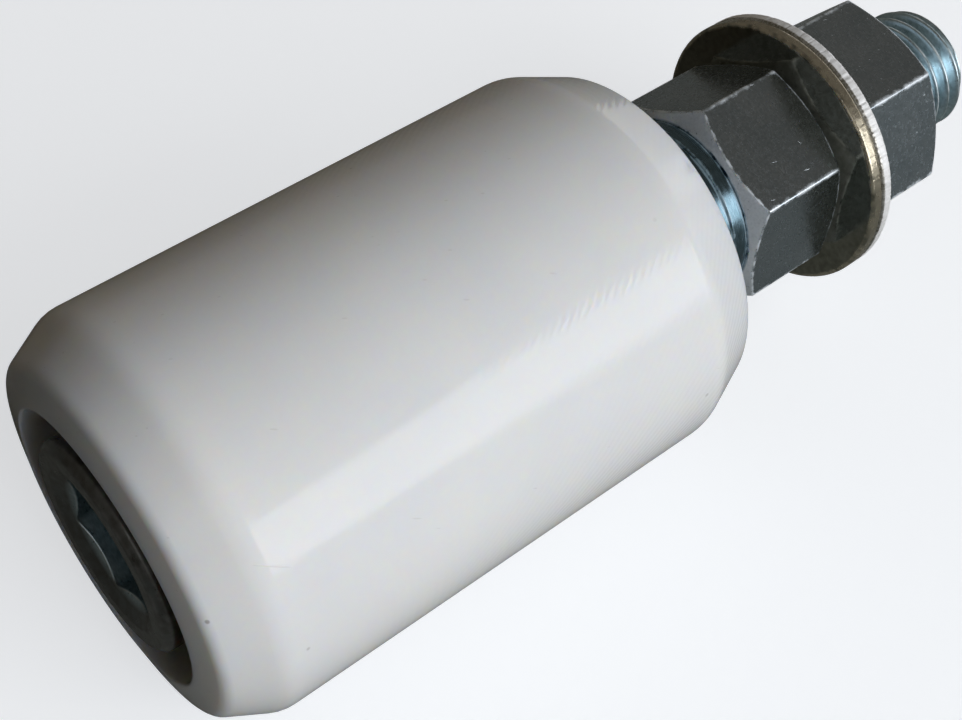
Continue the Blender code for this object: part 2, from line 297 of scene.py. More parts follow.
class Recipe:
    """A Principled material built one node at a time. Object coordinates are taken in millimetres."""

    def __init__(self, name, **constants):
        self.material = bpy.data.materials.new(name)
        self.material.use_nodes = True
        self.tree = self.material.node_tree
        self.shader = self.tree.nodes["Principled BSDF"]
        for socket, value in constants.items():
            self.shader.inputs[socket.replace("_", " ")].default_value = value

    def node(self, kind, sockets, output=0, **settings):
        made = self.tree.nodes.new("ShaderNode" + kind)
        for name, value in settings.items():
            setattr(made, name, value)
        for name, value in sockets.items():
            self.put(made.inputs[name], value)
        return made.outputs[output]

    def put(self, socket, value):
        if isinstance(value, bpy.types.NodeSocket):
            self.tree.links.new(value, socket)
        else:
            socket.default_value = value

    def place(self, stretch=(1, 1, 1), turn=(0, 0, 0)):
        """The point on the piece in millimetres, turned and then scaled along each axis."""
        point = self.node("TexCoord", {}, output="Object")
        turned_point = self.node("Mapping", {"Vector": point, "Rotation": turn})
        scale = tuple(factor / MM for factor in stretch)
        return self.node("Mapping", {"Vector": turned_point, "Scale": scale})

    def from_axis(self):
        """How far the point is from the axis of the object, in millimetres."""
        sockets = {"Vector": self.place(), "Location": (0, 0, -AXIS_HEIGHT), "Scale": (1, 0, 1)}
        across = self.node("Mapping", sockets)
        return self.node("VectorMath", {0: across}, output="Value", operation="LENGTH")

    def along_axis(self):
        """The point's y, in millimetres."""
        return self.node("SeparateXYZ", {"Vector": self.place()}, output="Y")

    def unrolled(self, stretch=(1, 1)):
        """The place on the unrolled surface: millimetres round the axis, and along the section."""
        place = self.node("UVMap", {}, uv_map="Turned")
        return self.node("Mapping", {"Vector": place, "Scale": (*stretch, 1)})

    def noise(self, vector, scale, detail=2.0, distortion=0.0):
        sockets = {"Vector": vector, "Scale": scale, "Detail": detail, "Distortion": distortion}
        return self.node("TexNoise", sockets)

    def cells(self, vector, scale, output="Distance"):
        return self.node("TexVoronoi", {"Vector": vector, "Scale": scale}, output=output)

    def waves(self, vector, scale, distortion, direction="Y"):
        sockets = {"Vector": vector, "Scale": scale, "Distortion": distortion, "Detail": 2.0}
        return self.node("TexWave", sockets, bands_direction=direction)

    def spread(self, value, low, high, to_low=0.0, to_high=1.0):
        sockets = {"Value": value, "From Min": low, "From Max": high, "To Min": to_low, "To Max": to_high}
        return self.node("MapRange", sockets)

    def maths(self, operation, first, second):
        return self.node("Math", {0: first, 1: second}, operation=operation)

    def mix(self, share, first, second):
        """A colour between two; a plain colour has three values."""
        first, second = (c if isinstance(c, bpy.types.NodeSocket) else (*c, 1) for c in (first, second))
        return self.node("Mix", {0: share, 6: first, 7: second}, output=2, data_type="RGBA")

    def attribute(self, name):
        return self.node("Attribute", {}, output="Fac", attribute_name=name)

    def short_scratches(self, size, angle, amount):
        """Sparse straight scratches: 1 on each, 0 elsewhere. size is (length, width) in millimetres."""
        length, width = size
        scale = 0.25
        vector = self.place(stretch=(1 / width, 1 / length, 1 / width), turn=angle)
        close = self.spread(self.cells(vector, scale), 0.05, 0.09, 1.0, 0.0)
        tint = self.node("SeparateColor", {"Color": self.cells(vector, scale, output="Color")})
        chosen = self.spread(tint, 1 - amount, 1 - amount + 0.02)
        return self.maths("MULTIPLY", close, chosen)

    def relief(self, *layers):
        """Bump from (height, depth in millimetres) layers, one on another."""
        normal = None
        for height, depth in layers:
            sockets = {"Height": height, "Distance": depth * MM, "Strength": 1.0}
            if normal:
                sockets["Normal"] = normal
            normal = self.node("Bump", sockets)
        return normal

    def finish(self, color, roughness, normal):
        self.put(self.shader.inputs["Base Color"], color)
        self.put(self.shader.inputs["Roughness"], roughness)
        self.put(self.shader.inputs["Normal"], normal)
        return self.material


def roller_plastic():
    """White turned plastic, a little clear, with specks, scratches, feed marks and chatter."""
    recipe = Recipe(
        "roller_plastic",
        Subsurface_Weight=0.85,
        Subsurface_Radius=(1.0, 0.8, 0.55),
        Subsurface_Scale=0.0045,
        Specular_IOR_Level=0.0,
        Coat_Weight=1.0,
        Coat_Roughness=0.13,
        Coat_IOR=1.42,
    )
    cool_white, warm_white = (0.83, 0.84, 0.855), (0.88, 0.88, 0.875)
    grime, scratch_tint = (0.16, 0.12, 0.10), (0.45, 0.40, 0.36)
    speck_scale = 0.16
    cloud = recipe.noise(recipe.place(), 0.035, detail=3)
    white = recipe.mix(recipe.spread(cloud, 0.35, 0.65), cool_white, warm_white)
    specks = recipe.spread(recipe.cells(recipe.place(), speck_scale), 0.03, 0.06, 1.0, 0.0)
    cell_color = recipe.cells(recipe.place(), speck_scale, output="Color")
    some = recipe.spread(recipe.node("SeparateColor", {"Color": cell_color}), 0.62, 0.66)
    dirt = recipe.maths("MULTIPLY", recipe.maths("MULTIPLY", specks, some), 0.55)
    color = recipe.mix(dirt, white, grime)
    scratches = recipe.short_scratches((26, 0.35), (0.5, 0.0, 0.35), 0.35)
    color = recipe.mix(recipe.maths("MULTIPLY", scratches, 0.16), color, scratch_tint)
    rub = recipe.noise(recipe.place(stretch=(0.4, 1.6, 0.4)), 0.5, detail=4)
    roughness = recipe.spread(rub, 0.3, 0.7, 0.17, 0.25)
    feed = recipe.waves(recipe.place(), 0.24, 0.6)
    chatter = recipe.waves(recipe.unrolled(), 0.42, 1.5, direction="DIAGONAL")
    chatter = recipe.maths("MULTIPLY", chatter, recipe.spread(recipe.along_axis(), *CHATTER_SPAN))
    grain = recipe.noise(recipe.place(stretch=(0.5, 3, 0.5)), 2.5, detail=3)
    skin_normal = recipe.relief((feed, 0.004), (chatter, 0.015), (grain, 0.003), (scratches, 0.02))
    recipe.put(recipe.shader.inputs["Coat Normal"], skin_normal)
    normal = recipe.relief((feed, 0.002), (scratches, 0.02))
    return recipe.finish(color, roughness, normal)


def paint_head_shade(recipe, color, painted_shade):
    """color with painted shade over a screw's head, standing in for the shade in the roller's recess: a dark
    coat of tint up to the head's last y, thinner inside its socket, which leaves the socket's walls painted
    lighter.
    """
    tint, first, last = painted_shade
    height = recipe.along_axis()
    # Painted shade: a dark coat over the whole head, fading out past its last y.
    shade_share = recipe.spread(height, last - 0.3, last + 0.3, 1.0, 0.0)
    uneven = recipe.spread(recipe.noise(recipe.place(), 0.6, detail=4), 0.35, 0.6, 0.93, 1.0)
    # Painted lighter socket walls: inside the socket, past its mouth, the painted shade is cut to 0.35.
    socket_walls_lighter = recipe.spread(recipe.from_axis(), 10.0, 10.4, 0.35, 1.0)
    in_front = recipe.spread(height, first + 1.0, first + 1.7, 1.0, 0.35)
    shade_share = recipe.maths("MULTIPLY", shade_share, recipe.maths("MAXIMUM", socket_walls_lighter, in_front))
    return recipe.mix(recipe.maths("MULTIPLY", shade_share, uneven), color, tint)


def plated_metal(
    name, dark, light, worn, gloss, grain, relief,
    stretch=(1, 1, 1), scratches=0.3, lathe=0.0, dull=0.5, painted_shade=None,
):
    """Plated or bare metal: mottled between two tones, worn bright where `edge` says, with short scratches.

    gloss is the (least, most) roughness, grain the speckle's frequency per millimetre, relief its depth in
    millimetres, stretch its frequency along each axis, and lathe the depth of fine turning marks. Where the
    piece is worn or freshly cut, as `cut` says, it scatters light: dull is how much. The last argument, if
    given, is painted shade of (colour, first y, last y), in millimetres: a dark coat over a screw's head,
    thinner in its socket.
    """
    recipe = Recipe(name, Metallic=1.0)
    speckle = recipe.noise(recipe.place(stretch=stretch), grain, detail=4)
    patch = recipe.noise(recipe.place(), 0.18, detail=3)
    fine, broad = recipe.maths("MULTIPLY", speckle, 0.65), recipe.maths("MULTIPLY", patch, 0.35)
    tone = recipe.maths("ADD", fine, broad)
    color = recipe.mix(recipe.spread(tone, 0.38, 0.62), dark, light)
    ragged = recipe.spread(recipe.noise(recipe.place(), 0.55, detail=6), 0.34, 0.66, 0.25, 1.1)
    wear = recipe.spread(recipe.maths("MULTIPLY", recipe.attribute("edge"), ragged), 0.25, 0.75)
    marks = recipe.maths(
        "MAXIMUM",
        recipe.short_scratches((3.2, 0.10), (0.4, 0.9, 0.3), scratches),
        recipe.short_scratches((1.8, 0.08), (1.1, 0.2, 0.9), scratches),
    )
    bright = recipe.maths("MAXIMUM", wear, marks)
    fresh = recipe.maths("MULTIPLY", recipe.attribute("cut"), recipe.spread(tone, 0.3, 0.6, 0.7, 1.0))
    bright = recipe.maths("MAXIMUM", bright, fresh)
    color = recipe.mix(bright, color, worn)
    haze = recipe.noise(recipe.place(stretch=stretch), grain / 2, detail=3)
    rough = recipe.spread(haze, 0.3, 0.7, *gloss)
    rough = recipe.maths("ADD", rough, recipe.maths("MULTIPLY", bright, 0.12))
    metallic = recipe.maths("SUBTRACT", 1.0, recipe.maths("MULTIPLY", bright, dull))
    # Painted shade over a screw's head, where asked.
    if painted_shade:
        color = paint_head_shade(recipe, color, painted_shade)
    recipe.put(recipe.shader.inputs["Metallic"], metallic)
    layers = [(speckle, relief), (marks, 0.012)]
    if lathe:
        layers.append((recipe.waves(recipe.place(), 1.1, 1.0), lathe))
    return recipe.finish(color, rough, recipe.relief(*layers))


def seal_rubber():
    recipe = Recipe("seal_rubber", Specular_IOR_Level=0.35)
    mottle = recipe.noise(recipe.place(), 1.2, detail=4)
    color = recipe.mix(recipe.spread(mottle, 0.35, 0.65), (0.018, 0.018, 0.019), (0.035, 0.033, 0.031))
    roughness = recipe.spread(mottle, 0.3, 0.7, 0.5, 0.68)
    pores = recipe.noise(recipe.place(), 6, detail=3)
    return recipe.finish(color, roughness, recipe.relief((pores, 0.008)))


def head_span():
    """First and last y of the screw's head."""
    front = extent("socket_head_screw")[0]
    return front, front + HEAD_HEIGHT


def make_materials():
    return {
        "roller_plastic": roller_plastic(),
        "screw_steel": plated_metal(
            "screw_steel", (0.47, 0.61, 0.68), (0.70, 0.86, 0.94), (0.90, 0.94, 0.96),
            gloss=(0.26, 0.38), grain=1.4, relief=0.0015, stretch=(1, 2, 1), scratches=0.15, lathe=0.002,
            # The screw's head gets painted shade, a dark coat standing in for the shade in the roller's
            # recess.
            dull=0.35, painted_shade=((0.12, 0.117, 0.11), *head_span()),
        ),
        "blue_zinc": plated_metal(
            "blue_zinc", (0.11, 0.18, 0.22), (0.19, 0.28, 0.34), (0.27, 0.37, 0.43),
            gloss=(0.16, 0.28), grain=1.8, relief=0.002, stretch=(0.4, 2, 0.4), scratches=0.15, lathe=0.003,
        ),
        "nut_zinc": plated_metal(
            "nut_zinc", (0.38, 0.45, 0.51), (0.50, 0.56, 0.62), (0.88, 0.94, 1.0),
            gloss=(0.18, 0.30), grain=3.0, relief=0.001, scratches=0.20, dull=0.55,
        ),
        "washer_zinc": plated_metal(
            "washer_zinc", (0.21, 0.205, 0.165), (0.32, 0.315, 0.265), (0.62, 0.56, 0.44),
            gloss=(0.10, 0.20), grain=0.9, relief=0.002, scratches=0.15, dull=0.05,
        ),
        "outer_washer_zinc": plated_metal(
            "outer_washer_zinc", (0.30, 0.28, 0.22), (0.80, 0.79, 0.77), (0.96, 0.96, 0.96),
            gloss=(0.30, 0.45), grain=4.0, relief=0.020, stretch=(1, 0.12, 1), scratches=0.3, dull=0.8,
        ),
        "bearing_steel": plated_metal(
            "bearing_steel", (0.50, 0.51, 0.52), (0.66, 0.67, 0.68), (0.85, 0.85, 0.85),
            gloss=(0.07, 0.16), grain=1.5, relief=0.001, scratches=0.05, lathe=0.001,
        ),
        "cage_brass": plated_metal(
            "cage_brass", (0.50, 0.38, 0.17), (0.66, 0.52, 0.27), (0.85, 0.72, 0.42),
            gloss=(0.22, 0.36), grain=1.8, relief=0.003, scratches=0.1,
        ),
        "spring_steel": plated_metal(
            "spring_steel", (0.06, 0.06, 0.065), (0.13, 0.13, 0.135), (0.45, 0.44, 0.42),
            gloss=(0.30, 0.46), grain=2.5, relief=0.004, scratches=0.2,
        ),
        "seal_rubber": seal_rubber(),
    }


# ---------------------------------------------------------------- pieces


def fit(piece, node, slot):
    """The piece takes the node's place on its body, with the material of one slot."""
    piece.data.materials.clear()
    piece.data.materials.append(MATERIALS[slot])
    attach(piece, BODY_OF[node])
    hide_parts(node)
    return piece


def dent(radius, y, angle, place, size, depth):
    """radius with a smooth hollow at place = (angle, y), of size = (round, along) in millimetres."""
    round_about = (angle - place[0] + math.pi) % FULL_TURN - math.pi
    spread = (round_about * radius / size[0]) ** 2 + ((y - place[1]) / size[1]) ** 2
    return radius - depth * np.exp(-spread)


def make_roller():
    front, rear, outer = extent("roller")
    seat_start, _, seat = extent("front_bearing_outer_ring")
    groove_start, groove_end, groove = extent("retaining_ring")
    corners = [
        (front, RECESS_RADIUS, 0.3),
        (front + FACE_CROWN, outer - CHAMFER_DEPTH - 0.3, 2.4),
        (front + CHAMFER_LENGTH, outer, 6.0),
        (rear - CHAMFER_LENGTH, outer, 5.0),
        (rear, outer - CHAMFER_DEPTH, 3.0),
        (rear, seat + MOUTH_EDGE, 0.25),
        (rear - MOUTH_EDGE, seat, 0.25),
        (groove_end + SLIP, seat, 0.12),
        (groove_end + SLIP, groove, 0.1),
        (groove_start - SLIP, groove, 0.1),
        (groove_start - SLIP, seat, 0.12),
        (seat_start - SLIP, seat, 0.3),
        (seat_start - SLIP, RECESS_RADIUS, 0.4),
    ]
    angle = np.linspace(0, FULL_TURN, ROLLER_COLUMNS + 1)
    y, radius, edge = stacked(section(corners, longest=1.3, fade=0.6), angle)
    outside = radius > outer - CHAMFER_DEPTH - 1.5
    nick, nick_size, nick_depth = (math.radians(26), rear - 1.6), (1.1, 0.8), 0.22
    gate_mark, gate_size, gate_depth = (math.radians(47), front + 42), (0.8, 0.9), 0.05
    dented = dent(radius, y, angle, nick, nick_size, nick_depth)
    dented = dent(dented, y, angle, gate_mark, gate_size, gate_depth)
    radius = np.where(outside, dented, radius)
    fit(skin("roller_tread", y, radius, edge), "roller", "roller_plastic")


def head_and_shank_rows(angle, front, head_radius, thread_start):
    """Rows from the middle of the socket's floor, up its walls and down the head's side to the thread."""
    wall, corner = hexagon_radius(angle, SOCKET_ACROSS_FLATS, SOCKET_TURN, 0.5)
    flat = SOCKET_ACROSS_FLATS / 2
    lip, head_edge = 0.12, 1.0
    floor = ((SOCKET_FLOOR_DEPTH, 0.0), (0.9, 0.35), (0.25, 0.8))
    rows = [(front + SOCKET_DEPTH + below, share * flat, 0.0) for below, share in floor]
    rows += [(front + SOCKET_DEPTH, share * wall, 0.0) for share in (0.93, 0.985)]
    for depth in (9.85, 9.5, 8.5, 7, 5.5, 4, 3, *np.arange(2.4, 0.1, -0.1)):
        mouth = SOCKET_MOUTH_RADIUS - CONE_SLOPE * depth
        inward, share = smooth_least(-mouth, -wall, 0.25)
        rows.append((front + depth, -inward, np.maximum(share, 0.3 * corner)))
    outside = section(
        [
            (front + lip, SOCKET_MOUTH_RADIUS - lip * CONE_SLOPE, 0),
            (front, SOCKET_MOUTH_RADIUS, 0.3),
            (front, head_radius - head_edge, 0.7),
            (front + head_edge, head_radius, 0.7),
            (front + HEAD_HEIGHT, head_radius, 0.5),
            (front + HEAD_HEIGHT, SCREW_RADIUS, 0.6),
            (thread_start, SCREW_RADIUS, 0),
        ],
        closed=False,
        longest=3.0,
    )
    return rows + list(outside[1:])


def thread_rows(angle, thread_start, tip):
    """Rows that wind round the thread, each ending where the one a pitch further on begins."""
    rise = angle / FULL_TURN * PITCH
    phases = (0, 0.045, 0.07, 0.11, 0.18, 0.26, 0.34, 0.40, 0.5, 0.60, 0.66, 0.74, 0.82, 0.89, 0.93, 0.955)
    rows = []
    turns = math.ceil((tip - thread_start) / PITCH) + 1
    for count in range(-1, turns):
        for phase in phases:
            y = np.clip(thread_start + (count + phase) * PITCH + rise, thread_start, tip)
            rows.append(thread_row(y, angle, thread_start, tip))
    return rows


def thread_row(y, angle, thread_start, tip):
    """(y, radius, edge) of a thread row. Where the row is held at an end, its radius is that of the end."""
    phase = ((y - thread_start) / PITCH - angle / FULL_TURN) % 1
    distance = np.minimum(phase, 1 - phase)
    crest, root = 1 / 16, 3 / 8
    share = np.clip((distance - crest) / (root - crest), 0, 1)
    depth = 0.5 * share + 0.5 * share * share * (3 - 2 * share)
    fade = np.clip((y - thread_start) / (1.5 * PITCH), 0, 1)
    radius = SCREW_RADIUS - THREAD_DEPTH * depth * fade
    radius, _ = smooth_least(radius, SCREW_RADIUS - TIP_CHAMFER + tip - y, 0.15)
    return y, radius, np.exp(-distance / 0.06) * 0.9 * np.ones_like(y)


def make_screw():
    front, tip, head_radius = extent("socket_head_screw")
    thread_start = tip - THREAD_LENGTH
    angle = np.linspace(0, FULL_TURN, SCREW_COLUMNS + 1)
    rows = head_and_shank_rows(angle, front, head_radius, thread_start)
    rows += thread_rows(angle, thread_start, tip)
    end_radius = rows[-1][1]
    rows += [(tip, share * end_radius, 0.0) for share in (0.97, 0.9, 0.5, 0.0)]
    fit(skin("screw_and_stud", *stacked(rows, angle)), "socket_head_screw", "screw_steel")


def nut_angles(turn):
    """Angles round a nut, close together at its corners."""
    steps = (0, 0.15, 0.35, 0.55, 0.8, 1.1, 1.5, 2.1, 3, *np.arange(4.5, 29, 1.5), 30)
    half = np.radians(steps)
    sector = np.concatenate([-half[:0:-1], half[:-1]]) + turn
    sectors = [sector + k * math.pi / 3 for k in range(6)]
    return np.concatenate([*sectors, [sector[0] + FULL_TURN]])


def make_nut(name, node, turn, start, end):
    """A hexagon nut: flat sides cut by a cone at each end, a countersunk bore, and softened edges."""
    angle = nut_angles(turn)
    hexagon, _ = hexagon_radius(angle, NUT_ACROSS_FLATS, turn, 0.30)
    corner_radius = NUT_ACROSS_FLATS / math.sqrt(3)
    bore = SCREW_RADIUS + 0.03
    first_step = 0.3
    opening = section(
        [
            (start + 2.0, bore, 0),
            (start + COUNTERSINK, bore, 0.2),
            (start, SCREW_RADIUS + COUNTERSINK, 0.15),
            (start, NUT_FACE_RADIUS, 0.25),
            (start + first_step, NUT_FACE_RADIUS + first_step * CONE_SLOPE, 0),
        ],
        closed=False,
    )
    rows = [(y, radius, worn, float(radius > NUT_FACE_RADIUS)) for y, radius, worn in opening]
    half_height = (end - start) / 2
    for depth in (*np.arange(0.4, 2.4, 0.1), 2.7, 3.3, 4.5, 6.5, half_height):
        cone = NUT_FACE_RADIUS + CONE_SLOPE * depth
        radius, _ = smooth_least(hexagon, cone, 0.3)
        near_cone = np.clip(1 - np.abs(hexagon - cone) / 0.8, 0, 1)
        near_corner = np.clip(1 - np.abs(hexagon - corner_radius) / 0.45, 0, 1)
        shown_corner = near_corner * (cone > hexagon)
        on_cone = np.clip((hexagon - cone) / 0.25, 0, 1)
        rows.append((start + depth, radius, np.maximum(near_cone, shown_corner), on_cone))
    mirrored = [(start + end - y, *rest) for y, *rest in rows[-2::-1]]
    rows += mirrored + [rows[0]]
    y, radius, edge, cut = stacked(rows, angle)
    fit(skin(name, y, radius, edge, angle, cut), node, "nut_zinc")


def make_washer(name, node, slot, start, end, shear, bare_end):
    """A punched washer. Its rim is torn by `shear` millimetres, and its edge is worn bright at bare_end."""
    _, _, outer = extent(node)
    corners = ring_corners(start, end, WASHER_BORE_RADIUS, outer, 0.5, 0.2)
    rows = section(corners, longest=0.6, fade=0.25)
    rng = np.random.default_rng(7 + round(start))
    tear_width = 3
    tears = rng.normal(size=WASHER_COLUMNS // tear_width)
    place = np.arange(WASHER_COLUMNS) / tear_width
    lines = 0.35 * rng.normal(size=WASHER_COLUMNS) + np.interp(place, np.arange(len(tears)), tears)
    lines = np.append(lines, lines[0])
    edge_width = 0.45
    rim = np.clip((rows[:, 1:2] - outer + edge_width) / 0.3, 0, 1)
    cut = rim * np.clip((rows[:, :1] - start - edge_width) / 0.1, 0, 1)
    torn = lines + 0.5 * rng.normal(size=(len(rows) - 1, WASHER_COLUMNS + 1))
    torn[:, -1] = torn[:, 0]
    torn = np.vstack([torn, torn[:1]])
    radius = rows[:, 1:2] - shear * rim * np.abs(torn)
    y = rows[:, :1] * np.ones(WASHER_COLUMNS + 1)
    edge = rows[:, 2:] * (np.abs(y - bare_end) < 1)
    fit(skin(name, y, radius, edge, cut=cut), node, slot)


def make_rings():
    """Spacers and sleeves, and the stack of nuts and washers, closed up along the screw."""
    head_end = extent("socket_head_screw")[0] + HEAD_HEIGHT
    stack = (
        "head_spacer", "front_bearing_inner_ring", "inner_sleeve", "rear_bearing_inner_ring", "rear_spacer",
        "shim_ring", "inner_nut", "inner_washer", "outer_washer", "outer_nut",
    )
    in_bore = ("front_bearing_outer_ring", "outer_sleeve", "rear_bearing_outer_ring", "retaining_ring")
    ends = closed_up(stack, first=head_end) | closed_up(in_bore)
    bore = SCREW_RADIUS + 2 * SLIP
    for node in ("head_spacer", "inner_sleeve", "rear_spacer", "shim_ring"):
        corners = ring_corners(*ends[node], bore, extent(node)[2], 0.3)
        fit(turned(node + "_ring", corners, fade=0.2), node, "blue_zinc")
    outer = extent("outer_sleeve")[2]
    corners = ring_corners(*ends["outer_sleeve"], outer - SLEEVE_WALL, outer, 0.3)
    fit(turned("outer_sleeve_ring", corners, fade=0.2), "outer_sleeve", "blue_zinc")
    make_nut("inner_hex_nut", "inner_nut", INNER_NUT_TURN, *ends["inner_nut"])
    make_nut("outer_hex_nut", "outer_nut", OUTER_NUT_TURN, *ends["outer_nut"])
    front, rear = ends["inner_washer"]
    make_washer("inner_plain_washer", "inner_washer", "washer_zinc", front, rear, 0.012, bare_end=front)
    front, rear = ends["outer_washer"]
    make_washer("outer_plain_washer", "outer_washer", "outer_washer_zinc", front, rear, 0.05, bare_end=rear)
    return ends


def make_races(side, ends, ball_radius):
    """The two rings of a bearing, each with a groove for its balls."""
    groove = ball_radius * GROOVE_OVER_BALL
    first, last, inner_shoulder = extent(side + "_bearing_inner_ring")
    middle = (first + last) / 2
    outer_back = extent(side + "_bearing_outer_ring")[2]
    outer_shoulder = 2 * BALL_CIRCLE_RADIUS - inner_shoulder + OUTER_SHOULDER_RELIEF
    for ring, shoulder, back, sign in (
        ("inner", inner_shoulder, SCREW_RADIUS + 2 * SLIP, -1),
        ("outer", outer_shoulder, outer_back - SLIP, 1),
    ):
        first, last = ends[f"{side}_bearing_{ring}_ring"]
        reach = math.sqrt(groove**2 - (BALL_CIRCLE_RADIUS - shoulder) ** 2)
        half_angle = math.asin(reach / groove)
        race = [
            (middle + groove * math.sin(a), BALL_CIRCLE_RADIUS + sign * groove * math.cos(a), 0)
            for a in np.linspace(-half_angle, half_angle, 17)
        ]
        sides = [(first, back, 0.7), (first, shoulder, 0.3)], [(last, shoulder, 0.3), (last, back, 0.7)]
        piece = turned(f"{side}_bearing_{ring}_race", sides[0] + race + sides[1], fade=0.15)
        fit(piece, f"{side}_bearing_{ring}_ring", "bearing_steel")


def make_seal(side, face):
    """A seal in one face of a bearing: a hollow runs round it, and its lip slopes to the inner ring."""
    node = f"{side}_bearing_{face}_seal"
    first, last, outer = extent(node)
    inner = extent(side + "_bearing_inner_ring")[2] + 2 * SLIP
    outside, inside = (first, last) if face == "front" else (last, first)
    step = 0.3 * (inside - outside)
    corners = [
        (outside, outer, 0.15),
        (outside, outer - 0.9, 0.12),
        (outside + step, outer - 1.1, 0.1),
        (outside + step, inner + 1.5, 0.1),
        (outside, inner + 1.2, 0.12),
        (outside, inner + 0.5, 0.12),
        (outside + 2 * step, inner, 0.1),
        (inside, inner, 0.1),
        (inside, outer, 0.15),
    ]
    fit(turned(node + "_lip", corners, columns=180), node, "seal_rubber")


def make_ball(node, radius):
    low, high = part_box(node)
    mesh = bpy.data.meshes.new(node + "_polished")
    bm = bmesh.new()
    place = Matrix.Translation((low + high) / 2)
    bmesh.ops.create_uvsphere(bm, u_segments=32, v_segments=20, radius=radius * MM, matrix=place)
    bm.to_mesh(mesh)
    bm.free()
    mesh.shade_smooth()
    fit(linked(node + "_polished", mesh), node, "bearing_steel")


def make_bearing(side, ends):
    """Grooved rings, lipped seals and balls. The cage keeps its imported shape."""
    first, last, _ = extent(side + "_bearing_ball_1")
    ball_radius = (last - first) / 2
    make_races(side, ends, ball_radius)
    for face in ("front", "rear"):
        make_seal(side, face)
    for index in range(1, BALLS + 1):
        make_ball(f"{side}_bearing_ball_{index}", ball_radius)
    cage = frame["nodes"][side + "_bearing_cage"]
    cage.data.materials.clear()
    cage.data.materials.append(MATERIALS["cage_brass"])


def ring_outline(outer, lug_circle):
    """(inner radius, angle) right along a spring ring: slimmer towards its ends, with a lug on each."""
    half_lug = LUG_RADIUS / lug_circle
    near = np.linspace(0, 2.6 * half_lug, 40)
    length = FULL_TURN - 2 * RING_OPENING
    between = np.linspace(near[-1], length - near[-1], 110)[1:-1]
    travel = np.concatenate([near, between, length - near[::-1]])
    from_end = np.minimum(travel, length - travel)
    from_lug = (from_end - half_lug) * lug_circle
    plain = outer - RING_WIDTH + RING_TAPER * np.cos(travel / length * math.pi) ** 2
    lug_edge = lug_circle - np.sqrt(np.clip(LUG_RADIUS**2 - from_lug**2, 0, None))
    share = np.clip((from_end - 2 * half_lug) / (0.6 * half_lug), 0, 1)
    past_lug = lug_circle + (plain - lug_circle) * share**0.5
    return np.where(from_end < 2 * half_lug, lug_edge, past_lug), travel + math.pi + RING_OPENING


def ring_outlines(outer):
    """The outline of a spring ring, and those of the holes in its lugs, as (across, up) in millimetres."""
    lug_circle = outer - LUG_INSET
    inner, angle = ring_outline(outer, lug_circle)
    radius = np.concatenate([np.full(len(angle), outer - RING_BEVEL), inner[::-1] + RING_BEVEL])
    angle = np.concatenate([angle, angle[::-1]])
    outlines = [np.column_stack([radius * np.sin(angle), radius * np.cos(angle)])]
    step = np.linspace(0, FULL_TURN, 33)[:-1]
    hole = (LUG_HOLE_RADIUS + RING_BEVEL) * np.column_stack([np.sin(step), np.cos(step)])
    for side in (-1, 1):
        at = math.pi + side * (RING_OPENING + LUG_RADIUS / lug_circle)
        outlines.append(lug_circle * np.array([math.sin(at), math.cos(at)]) + hole)
    return outlines


def extruded(name, outlines, thickness, bevel):
    """A mesh of flat outlines, the first less the others, lying in its own x and y."""
    curve = bpy.data.curves.new(name, "CURVE")
    curve.dimensions = "2D"
    curve.fill_mode = "BOTH"
    curve.extrude = (thickness / 2 - bevel) * MM
    curve.bevel_depth = bevel * MM
    curve.bevel_resolution = 0
    for outline in outlines:
        count = len(outline)
        spline = curve.splines.new("POLY")
        spline.points.add(count - 1)
        places = np.column_stack([outline * MM, np.zeros(count), np.ones(count)])
        spline.points.foreach_set("co", places.ravel())
        spline.use_cyclic_u = True
    drawn = bpy.data.objects.new(name, curve)
    mesh = bpy.data.meshes.new_from_object(drawn)
    bpy.data.objects.remove(drawn)
    bpy.data.curves.remove(curve)
    return mesh


def make_retaining_ring(ends):
    """A spring ring in its groove, open at the bottom, with a hole in the lug at each end."""
    first, last = ends["retaining_ring"]
    outlines = ring_outlines(extent("retaining_ring")[2])
    mesh = extruded("retaining_ring_outline", outlines, last - first, RING_BEVEL)
    middle = (first + last) / 2 * MM
    upright = ((1, 0, 0, 0), (0, 0, -1, middle), (0, 1, 0, AXIS_HEIGHT * MM), (0, 0, 0, 1))
    mesh.transform(Matrix(upright))
    weld(mesh)
    mesh.set_sharp_from_angle(angle=math.radians(30))
    fit(linked("spring_ring", mesh), "retaining_ring", "spring_steel")


def make_floor():
    """A plain pale floor, which the object's light and reflections find darker than the camera does."""
    mesh = bpy.data.meshes.new("floor")
    bm = bmesh.new()
    bmesh.ops.create_grid(bm, x_segments=1, y_segments=1, size=4)
    bm.to_mesh(mesh)
    bm.free()
    floor = linked("floor", mesh)
    floor.location.z = -0.0002
    as_lit, as_reflected, as_seen = (0.12, 0.12, 0.115), (0.27, 0.28, 0.26), (0.55, 0.56, 0.57)
    recipe = Recipe("pale_floor", Roughness=0.9, Specular_IOR_Level=0.0)
    path = recipe.tree.nodes.new("ShaderNodeLightPath")
    unseen = recipe.mix(path.outputs["Is Glossy Ray"], as_lit, as_reflected)
    color = recipe.mix(path.outputs["Is Camera Ray"], unseen, as_seen)
    recipe.put(recipe.shader.inputs["Base Color"], color)
    recipe.put(recipe.shader.inputs["Emission Color"], (0.95, 0.97, 1.0, 1))
    glow = recipe.maths("MULTIPLY", path.outputs["Is Camera Ray"], FLOOR_GLOW)
    recipe.put(recipe.shader.inputs["Emission Strength"], glow)
    mesh.materials.append(recipe.material)


# ---------------------------------------------------------------- stage

